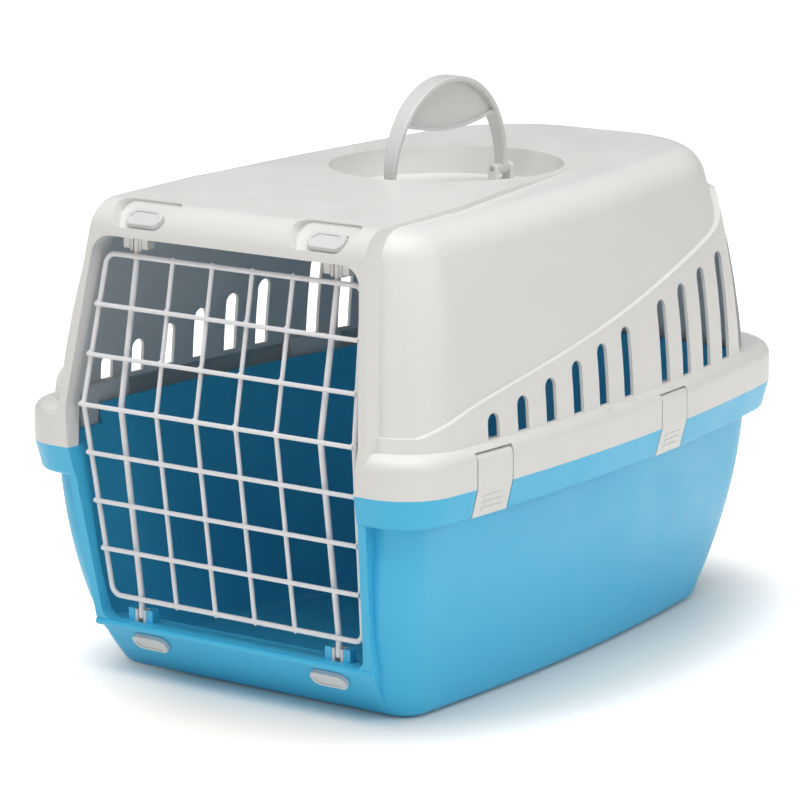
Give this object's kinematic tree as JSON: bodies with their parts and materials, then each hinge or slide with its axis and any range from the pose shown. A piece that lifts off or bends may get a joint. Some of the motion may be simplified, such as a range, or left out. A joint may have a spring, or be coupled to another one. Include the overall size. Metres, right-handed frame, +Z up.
{
  "type": "pet carrier",
  "caption": "Hard-shell pet carrier: blue tub, white vented top shell, hinged white wire door held by sliding clips, side latches and a folding carry handle in the roof.",
  "frame": {"origin": "centre of the bounding box at the bottom face the carrier stands on", "axes": "X to the right as seen from the front, Y to the rear with the door at the front, Z up"},
  "size_m": [0.33, 0.49, 0.3739],
  "materials": {
    "tub": "satin light blue moulded plastic",
    "shell": "satin white moulded plastic with a fine grain",
    "wire": "white coated steel wire",
    "clip": "pale grey satin plastic",
    "latch": "pale grey satin plastic",
    "handle": "pale grey satin plastic",
    "pin": "bare steel pin"
  },
  "bodies": {
    "shells": {"lower_tub": "tub", "upper_shell": "shell", "latch_pin_front_left": "pin", "latch_pin_front_right": "pin", "latch_pin_rear_left": "pin", "latch_pin_rear_right": "pin", "handle_pin_front": "pin", "handle_pin_rear": "pin"},
    "door": {"door_frame": "wire", "door_upright_wires": "wire", "door_rod_left": "wire", "door_rod_right": "wire", "door_cross_wires": "wire"},
    "handle": {"handle": "handle"},
    "latch_front_left": {"latch_front_left": "latch"},
    "latch_front_right": {"latch_front_right": "latch"},
    "latch_rear_left": {"latch_rear_left": "latch"},
    "latch_rear_right": {"latch_rear_right": "latch"},
    "top_clip_left": {"top_clip_left": "clip"},
    "top_clip_right": {"top_clip_right": "clip"},
    "bottom_clip_left": {"bottom_clip_left": "clip"},
    "bottom_clip_right": {"bottom_clip_right": "clip"}
  },
  "joints": [
    {"name": "door_swing", "type": "hinge", "parent": "shells", "child": "door", "pos_m": [-0.08, -0.215, 0.16], "axis": [0, 0, -1], "range_deg": [0, 95]},
    {"name": "handle_fold", "type": "hinge", "parent": "shells", "child": "handle", "pos_m": [0, 0.0065, 0.3054], "axis": [0, 1, 0], "range_deg": [-88, 88]},
    {"name": "latch_swing_front_left", "type": "hinge", "parent": "shells", "child": "latch_front_left", "pos_m": [-0.15997, -0.16689, 0.169], "axis": [-0.0231, 0.9997, 0], "range_deg": [0, 100]},
    {"name": "latch_swing_front_right", "type": "hinge", "parent": "shells", "child": "latch_front_right", "pos_m": [0.15997, -0.16689, 0.169], "axis": [-0.0231, -0.9997, 0], "range_deg": [0, 100]},
    {"name": "latch_swing_rear_left", "type": "hinge", "parent": "shells", "child": "latch_rear_left", "pos_m": [-0.15044, 0.04799, 0.169], "axis": [0.1116, 0.9938, 0], "range_deg": [0, 100]},
    {"name": "latch_swing_rear_right", "type": "hinge", "parent": "shells", "child": "latch_rear_right", "pos_m": [0.15044, 0.04799, 0.169], "axis": [0.1116, -0.9938, 0], "range_deg": [0, 100]},
    {"name": "top_clip_slide_left", "type": "slide", "parent": "shells", "child": "top_clip_left", "axis": [0, 0, 1], "range_m": [0, 0.008]},
    {"name": "top_clip_slide_right", "type": "slide", "parent": "shells", "child": "top_clip_right", "axis": [0, 0, 1], "range_m": [0, 0.008]},
    {"name": "bottom_clip_slide_left", "type": "slide", "parent": "shells", "child": "bottom_clip_left", "axis": [0, 0, -1], "range_m": [0, 0.008]},
    {"name": "bottom_clip_slide_right", "type": "slide", "parent": "shells", "child": "bottom_clip_right", "axis": [0, 0, -1], "range_m": [0, 0.008]}
  ]
}
